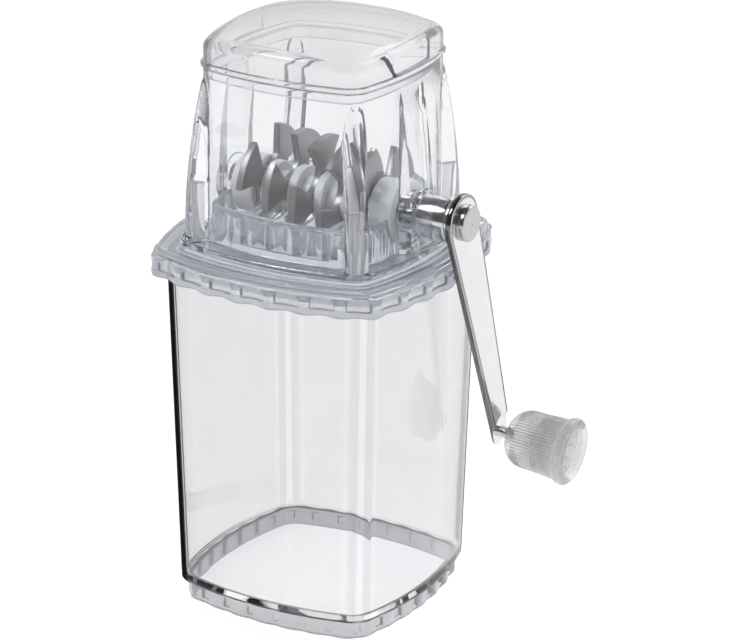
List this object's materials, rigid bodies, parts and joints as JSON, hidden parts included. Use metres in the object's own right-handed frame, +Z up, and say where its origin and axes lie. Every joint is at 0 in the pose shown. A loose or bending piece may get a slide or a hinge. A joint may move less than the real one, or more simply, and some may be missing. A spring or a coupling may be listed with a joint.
{
  "type": "hand-cranked ice crusher",
  "caption": "Clear tapered ice container under a crusher head with a bladed rotor in a square clear hopper, a loose domed lid, and a chrome side crank with a clear free-turning knob.",
  "frame": {"origin": "middle of the foot ring, on the plane the machine stands on", "axes": "+Z up, +X towards the crank, -Y the front"},
  "size_m": [0.1612, 0.1236, 0.25],
  "materials": {
    "clear_plastic": "clear moulded plastic, polished",
    "tinted_plastic": "clear moulded plastic with a cool blue-grey tint",
    "light_plastic": "pale grey moulded plastic",
    "blade_steel": "dull stamped steel",
    "crank_chrome": "polished chrome plate",
    "cap_steel": "finely turned face with a centre dot"
  },
  "bodies": {
    "container": {"container": "clear_plastic", "foot_ring": "clear_plastic"},
    "head": {"collar": "tinted_plastic", "tray": "tinted_plastic", "comb_front": "tinted_plastic", "comb_rear": "tinted_plastic", "hopper": "clear_plastic", "bush_crank": "clear_plastic", "bush_idle": "clear_plastic"},
    "lid": {"lid": "clear_plastic"},
    "rotor": {"shaft": "crank_chrome", "blade_1": "blade_steel", "blade_2": "blade_steel", "blade_3": "blade_steel", "blade_4": "blade_steel", "blade_5": "blade_steel", "hub_1": "light_plastic", "hub_2": "light_plastic", "hub_3": "light_plastic", "hub_4": "light_plastic", "spacer_1": "light_plastic", "spacer_2": "light_plastic", "spacer_3": "light_plastic", "spacer_4": "light_plastic", "drum_idle": "light_plastic", "drum_drive": "light_plastic", "sleeve": "crank_chrome", "arm_washer": "crank_chrome", "crank_arm": "crank_chrome", "cap": "cap_steel", "knob_pin": "crank_chrome", "knob_retainer": "crank_chrome"},
    "knob": {"knob": "clear_plastic"}
  },
  "joints": [
    {"name": "head_lift", "type": "slide", "parent": "container", "child": "head", "axis": [0, 0, 1], "range_m": [0, 0.04]},
    {"name": "lid_lift", "type": "slide", "parent": "head", "child": "lid", "axis": [0, 0, 1], "range_m": [0, 0.03]},
    {"name": "crank_spin", "type": "hinge", "parent": "head", "child": "rotor", "pos_m": [0.05, 0, 0.1736], "axis": [1, 0, 0], "continuous": true},
    {"name": "knob_spin", "type": "hinge", "parent": "rotor", "child": "knob", "pos_m": [0.0654, 0.03767, 0.06897], "axis": [0.9962, 0.0295, -0.082], "continuous": true}
  ]
}
